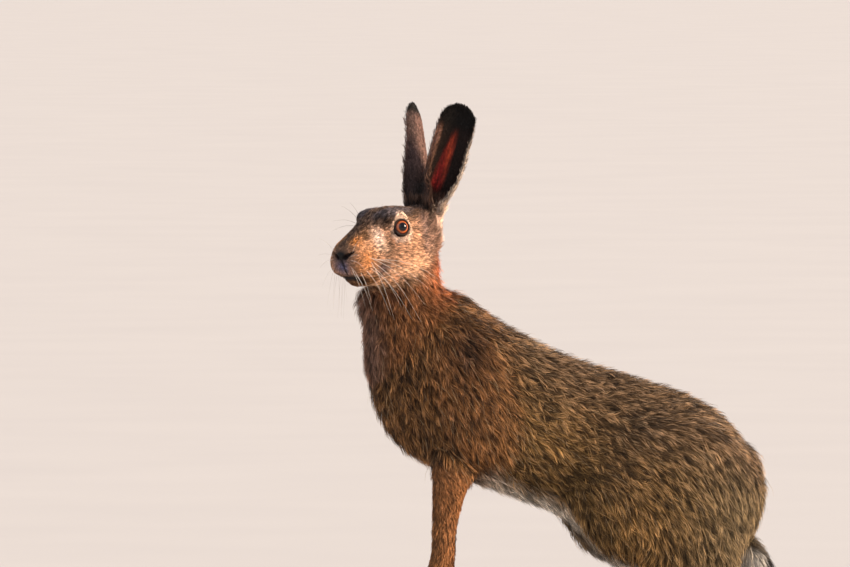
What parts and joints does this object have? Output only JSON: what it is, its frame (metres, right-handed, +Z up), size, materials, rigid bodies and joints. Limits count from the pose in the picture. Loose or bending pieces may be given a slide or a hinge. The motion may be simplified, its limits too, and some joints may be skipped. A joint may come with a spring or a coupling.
{
  "type": "brown hare",
  "caption": "Life-size still model of a brown hare sitting up alert on its haunches, forelegs straight, ears raised and head turned to its left.",
  "frame": {"origin": "on the floor, under the middle of the model's box", "axes": "the body faces -X, its left side faces -Y, +Z is up"},
  "size_m": [0.4702, 0.1574, 0.5058],
  "materials": {
    "back_coat": "grizzled fur, black, buff and brown",
    "breast_coat": "soft russet fur",
    "face_coat": "short buff and grey-brown fur",
    "ear_coat": "very short fur, black at the tip",
    "leg_coat": "short buff fur",
    "tail_coat": "white fur, black along the top",
    "eye": "glossy, amber with a black pupil",
    "claw": "dark horn"
  },
  "bodies": {
    "root": {"head": "face_coat", "ear_left": "ear_coat", "eye_left": "eye", "ear_right": "ear_coat", "eye_right": "eye", "neck": "breast_coat", "torso": "back_coat", "tail": "tail_coat", "shoulder_left": "breast_coat", "foreleg_left": "leg_coat", "forefoot_left": "leg_coat", "thigh_left": "back_coat", "hindfoot_left": "leg_coat", "shoulder_right": "breast_coat", "foreleg_right": "leg_coat", "forefoot_right": "leg_coat", "thigh_right": "back_coat", "hindfoot_right": "leg_coat", "foreclaw_left_1": "claw", "foreclaw_left_2": "claw", "foreclaw_left_3": "claw", "foreclaw_left_4": "claw", "foreclaw_right_1": "claw", "foreclaw_right_2": "claw", "foreclaw_right_3": "claw", "foreclaw_right_4": "claw", "hindclaw_left_1": "claw", "hindclaw_left_2": "claw", "hindclaw_left_3": "claw", "hindclaw_left_4": "claw", "hindclaw_right_1": "claw", "hindclaw_right_2": "claw", "hindclaw_right_3": "claw", "hindclaw_right_4": "claw"}
  },
  "joints": []
}
